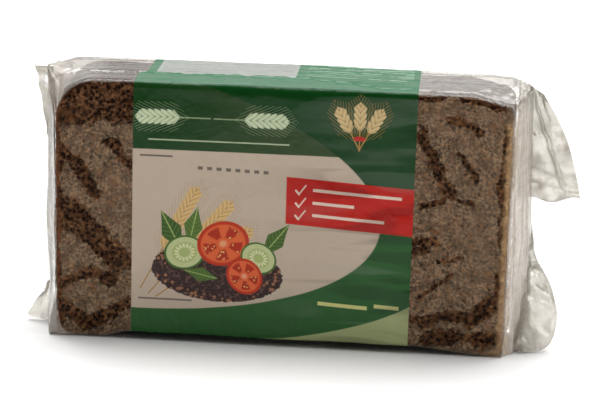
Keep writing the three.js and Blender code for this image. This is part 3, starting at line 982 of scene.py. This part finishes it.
def print_finish():
    finish, _ = new_finish("printed_film")
    paper = Print(finish.node_tree)
    front_fields(paper)
    still_life(paper)
    red_field(paper)
    title_ornament(paper)
    corner_seal(paper)
    top_fields(paper)
    rear_fields(paper)
    # Painted shade and painted reflection: level noise bands darken the ink, and a few lighten it,
    # over the right of the front, where the film's level creases would lose and catch the light.
    level = paper.noise(paper.vector("MULTIPLY", paper.point, (0.16, 1, 1)), 11, 2, 0.5, 0.4)
    painted_crease_bands = paper.x.ramp(-14, 34) * paper.inside(95 - paper.y, 2.0)
    painted_shade_ink = paper.vector("MULTIPLY", paper.ink, (0.62, 0.62, 0.62))
    paper.tint(painted_shade_ink, level.ramp(0.47, 0.42) * painted_crease_bands * 0.8)
    paper.tint(colour(170, 180, 168), level.ramp(0.52, 0.58) * painted_crease_bands * 0.10)
    wander = paper.noise(paper.point, 9, 3, 0.5, 0.6)
    fine = paper.noise(paper.point, 2.2, 4, 0.6)
    normal = paper.bump(wander + fine * 0.16, 0.5 * MM)
    rough = paper.noise(paper.point, 14, 2).ramp(0.35, 0.65, 0.14, 0.24)
    sockets = {
        "Base Color": paper.ink,
        "Roughness": rough,
        "Specular IOR Level": 0.16,
        "Normal": normal,
    }
    paper.end("ShaderNodeOutputMaterial", paper.add("ShaderNodeBsdfPrincipled", {}, sockets))
    return finish


grid = close_ring(bag_points[first_printed : last_printed + 1])
sheet = close_ring(bag_flat[first_printed : last_printed + 1])
make_piece("film_printed_middle", grid.reshape(-1, 3), [grid_faces(0, *grid.shape[:2])],
           {"sheet": sheet.reshape(-1, 3)}, print_finish())

# The folded corners
# Where the two ends were pressed flat and folded, the corners stand out as ears of two sheets.
# They're of the bag's own film, crumpled. The upper right one keeps a stretch of the ridged seal.

EAR_GRID = (56, 96)
EAR_HALF = 0.7
PUFF_HALF = 4.6
RIGHT_TIP = 108.6


def curve_through(points, count):
    """Evenly numbered points on a smooth curve through a few given ones."""
    points = np.array(points, float)
    padded = np.concatenate([[2 * points[0] - points[1]], points, [2 * points[-1] - points[-2]]])
    t = np.linspace(0, len(points) - 1, count)
    i = np.minimum(t.astype(int), len(points) - 2)
    f = (t - i)[:, None]
    a, b, c, d = (padded[i + k] for k in range(4))
    bend = (2 * a - 5 * b + 4 * c - d) * f**2
    return 0.5 * (2 * b + (c - a) * f + bend + (3 * b - a - 3 * c + d) * f**3)


def make_ear(name, inner, outer, sway, half, crumple, seed, relief=None, veins=None, hem=0.0):
    """Two sheets between an edge in the bag and an outer one, both given as (x, z), top down."""
    across, down = EAR_GRID
    s = np.linspace(0, 1, across)[None, :, None]
    inside = curve_through(inner, down)[:, None, :]
    outside = curve_through(outer, down)[:, None, :]
    plane = blend(inside, outside, s)
    s, t = s[..., 0] + np.zeros((down, 1)), np.linspace(0, 1, down)[:, None] + np.zeros((1, across))
    plane[..., 1] -= hem * np.cos((s - 0.42) * 7) * smooth(t, 0.86, 1)
    middle = sway(s, t)
    at = np.stack([plane[..., 0], middle, plane[..., 1]], -1)
    loose = crumple * smooth(s, 0, 0.25)
    middle = middle + loose * (1.3 * folds(at, 13, seed, 4) + 0.25 * folds(at, 5, seed + 20, 4))
    rim = np.minimum(np.minimum(1 - s, t), 1 - t)
    gap = half(s, t) * smooth(rim, -0.02, 0.12) + 0.06
    gap = gap * (1 + 0.35 * folds(at, 6, seed + 40, 3))
    if relief:
        gap = gap + relief(s, t)
    sheets = []
    for way in (-1, 1):
        x = plane[..., 0] + 0.25 * folds(at, 5, seed + 60 + way, 3) * smooth(rim, 0, 0.1)
        sheets.append(np.stack([x, middle + way * np.maximum(gap, 0.05), plane[..., 1]], -1))
    points = np.concatenate([sheet.reshape(-1, 3) for sheet in sheets])
    size = across * down
    here = rim_of(down, across)
    after = np.roll(here, -1)
    wall = np.stack([here, after, after + size, here + size], -1)
    faces = [grid_faces(0, down, across), grid_faces(size, down, across, flip=True), wall[:, ::-1]]
    flat = np.stack([points[:, 0], points[:, 2], 0 * points[:, 0]], -1)
    none = np.zeros(len(points))
    haze = 0.35 + 0.28 * np.clip(folds(at * [1, 1, 0.4], 5, seed + 80, 3), 0, 1)
    haze = haze + 0.35 * (1 - smooth(rim, 0, 0.03)) * smooth(s, 0.1, 0.4)
    if veins:
        haze = haze + veins(s, t)
    mist = np.tile(haze.ravel(), 2)
    marks = {"sheet": flat, "bread": none, "cling": none, "mist": mist, "gloss": none + FILM_GLOSS}
    points[:, 2] = np.maximum(points[:, 2], 0.02)
    make_piece(name, points, faces, marks, clear_film)


def sealed_ridges(s, t):
    """The ridges of the pressed seal, across its strip along the outer edge."""
    strip = smooth(s, 0.66, 0.72) * smooth(t, 0.3, 0.36)
    return strip * 0.32 * (0.5 + 0.5 * np.sin(t * 62))


def upper_right_sway(s, t):
    return -2.6 * s * np.sin(t * 2.6 + 0.4) + 1.1 * np.sin(s * 5 + t * 3) * s


def upper_right_crease(s, t):
    """Two long creases side by side, from the ear's root at the top to its outer edge."""
    across = s - 0.12 - 0.62 * t
    return np.exp(-((across / 0.022) ** 2)) + 0.7 * np.exp(-(((across - 0.09) / 0.018) ** 2))


def upper_right_half(s, t):
    return EAR_HALF * (1 - 0.6 * smooth(s, 0.6, 0.75)) + 0.8 * upper_right_crease(s, t)


def upper_right_veins(s, t):
    level = np.exp(-(((t - 0.70 - 0.1 * s) / 0.02) ** 2))
    level += np.exp(-(((t - 0.83 - 0.05 * s) / 0.015) ** 2))
    lines = 0.45 * upper_right_crease(s, t) + 0.3 * level * (s < 0.7) + 0.5 * sealed_ridges(s, t)
    return 0.06 + lines


def puff_sway(s, t):
    return 0.8 * np.sin(s * 3 + t * 7) * s - 12 * smooth(t, 0.35, 1.0)


def puff_veins(s, t):
    """The air-filled corner grows out of the end slope, so its root can't be told from it."""
    return 0.08 - 0.42 * (1 - smooth(s, 0.0, 0.24)) * smooth(t, 0.2, 0.4)


def puff_half(s, t):
    swell = np.sin(math.pi * np.clip(t, 0.02, 0.98)) ** 0.6
    root = 0.25 + 0.75 * smooth(s, 0, 0.3)
    return 0.5 + PUFF_HALF * swell * root * (1 - s) ** 0.55 * (1 - 0.25 * np.sin(t * 9))


make_ear("ear_upper_right", [(88.6, 97), (90.6, 55)],
         [(93.2, 94.6), (97.9, 87.2), (102.9, 77), (106.9, 63.5), (RIGHT_TIP, 55.4)],
         upper_right_sway, upper_right_half, 0.5, 401, sealed_ridges, upper_right_veins, 1.0)
make_ear("ear_lower_right", [(89.6, 48), (86.5, 1.4)],
         [(91.2, 47.5), (92.6, 40), (93.8, 33.5), (99, 24.5), (101.4, 18), (102.6, 12), (101.4, 5),
          (97.5, 1), (89.5, 0.5)],
         puff_sway, puff_half, 0.5, 402, None, puff_veins)
make_ear("ear_upper_left", [(-86, 96.8), (-85.2, 60)],
         [(-93.5, 96.4), (-91.8, 87), (-89.7, 79), (-87, 66)],
         lambda s, t: 1.4 * s * np.cos(t * 3), lambda s, t: EAR_HALF * (1.6 - 0.6 * s), 0.5, 403,
         None, lambda s, t: 0.22 + 0 * s)
make_ear("ear_lower_left", [(-86, 16), (-85.2, 1.5)],
         [(-87.6, 15.4), (-89.2, 11.4), (-91.7, 8.2), (-93.4, 5), (-LEFT_TIP, 1.7), (-91, 0.8),
          (-86.6, 0.6)],
         lambda s, t: -3.0 * s + 0.6 * np.sin(t * 6) * s, lambda s, t: EAR_HALF * (1.8 - 0.9 * s),
         0.4, 404, None, lambda s, t: -0.12 + 0 * s)

# The seal fins
# The pressed strip along each end's seal, of the same film as the bag.
# It's folded over and lies flat on the slope behind it.

FIN_WIDTH = 8.0
FIN_HALF = 0.35


def make_fin(name, side, seal, foot, top, seed):
    run = seal - SLOPE_START
    slope = math.hypot(run, -LOAF_FRONT)
    low_x = float(leaning(np.array(side * seal), foot))
    high_x = float(leaning(np.array(side * seal), top))
    fold = side * (0.5 - run * FIN_WIDTH / slope)
    make_ear(name, [(high_x - side * 0.4, top), (low_x - side * 0.4, foot)],
             [(high_x + fold, top), (low_x + fold, foot)],
             lambda s, t: SEAL_HALF * 0.5 + s * FIN_WIDTH * -LOAF_FRONT / slope + 0.6,
             lambda s, t: FIN_HALF + 0.15 * np.sin(t * (top - foot) * 1.4), 0.15, seed)


make_fin("fin_right", 1, RIGHT_SEAL, 30, 88, 405)
make_fin("fin_left", -1, LEFT_SEAL, 10, 86, 406)

# The floor, the light and the camera
# A plain pale floor, one wide soft light above and a little behind, and a brighter room behind
# than in front, so that the top of the pack is light and its printed front lies in soft shade.

FLOOR_HALF = 6.0

floor_mesh = bpy.data.meshes.new("floor")
corners = [(a * FLOOR_HALF, b * FLOOR_HALF, 0) for a, b in ((-1, -1), (1, -1), (1, 1), (-1, 1))]
floor_mesh.from_pydata(corners, [], [(0, 1, 2, 3)])
floor = bpy.data.objects.new("floor", floor_mesh)
bpy.context.scene.collection.objects.link(floor)
floor_finish, floor_nodes = new_finish("pale_floor")
clouds = floor_nodes.noise(floor_nodes.place(), 0.4, 3)
pale = floor_nodes.mix(clouds, (0.93, 0.93, 0.925, 1), (0.96, 0.96, 0.955, 1))
floor_sockets = {"Base Color": pale, "Roughness": 0.6, "Specular IOR Level": 0.2}
matte = floor_nodes.add("ShaderNodeBsdfPrincipled", {}, floor_sockets)
floor_nodes.end("ShaderNodeOutputMaterial", matte)
floor_mesh.materials.append(floor_finish)

world = bpy.data.worlds.new("studio")
world.use_nodes = True
bpy.context.scene.world = world
room = Nodes(world.node_tree)
way = room.add("ShaderNodeTexCoord", {}, {}, "Generated")
backward = room.part(way, "Y").ramp(-0.3, 0.5, 0.06, 0.62)
sky = room.add("ShaderNodeBackground", {}, {"Color": (1, 0.99, 0.97, 1), "Strength": backward})
room.end("ShaderNodeOutputWorld", sky)


def soft_light(name, place, aim, width, height, power):
    light = bpy.data.lights.new(name, "AREA")
    light.shape = "RECTANGLE"
    light.size = width
    light.size_y = height
    light.energy = power
    lamp = bpy.data.objects.new(name, light)
    lamp.location = place
    lamp.rotation_euler = (Vector(aim) - Vector(place)).to_track_quat("-Z", "Y").to_euler()
    bpy.context.scene.collection.objects.link(lamp)


soft_light("overhead", (0.0, 0.42, 1.25), (0, 0.05, 0), 1.7, 1.2, 34)
soft_light("right_fill", (1.3, -0.1, 0.55), (0.09, 0, 0.05), 0.6, 0.6, 6)

FOCAL_PIXELS = 2340
PHOTO_WIDTH = 600
SENSOR = 36
CAMERA_TURN = math.radians(-4.32)
CAMERA_DIP = math.radians(14.04)
CAMERA_ROLL = math.radians(1.75)
CAMERA_AWAY = 0.865
AIM_HEIGHT = 0.046
AIM_SHIFT = (16.6 / PHOTO_WIDTH, 1.1 / PHOTO_WIDTH)

ahead = Vector((math.sin(CAMERA_TURN), math.cos(CAMERA_TURN), 0))
look = ahead * math.cos(CAMERA_DIP) - Vector((0, 0, math.sin(CAMERA_DIP)))
level = Vector((math.cos(CAMERA_TURN), -math.sin(CAMERA_TURN), 0))
upright = level.cross(look)
right = level * math.cos(CAMERA_ROLL) + upright * math.sin(CAMERA_ROLL)
above = upright * math.cos(CAMERA_ROLL) - level * math.sin(CAMERA_ROLL)
lens = bpy.data.cameras.new("camera")
lens.sensor_width = SENSOR
lens.lens = FOCAL_PIXELS * SENSOR / PHOTO_WIDTH
lens.shift_x = AIM_SHIFT[0]
lens.shift_y = AIM_SHIFT[1]
camera = bpy.data.objects.new("camera", lens)
aim = Vector((LOAF_MIDDLE * MM, 0, AIM_HEIGHT))
turned = Matrix((right, above, -look)).transposed()
camera.matrix_world = Matrix.Translation(aim - look * CAMERA_AWAY) @ turned.to_4x4()
bpy.context.scene.collection.objects.link(camera)
bpy.context.scene.camera = camera
bpy.context.scene.view_settings.view_transform = "Standard"
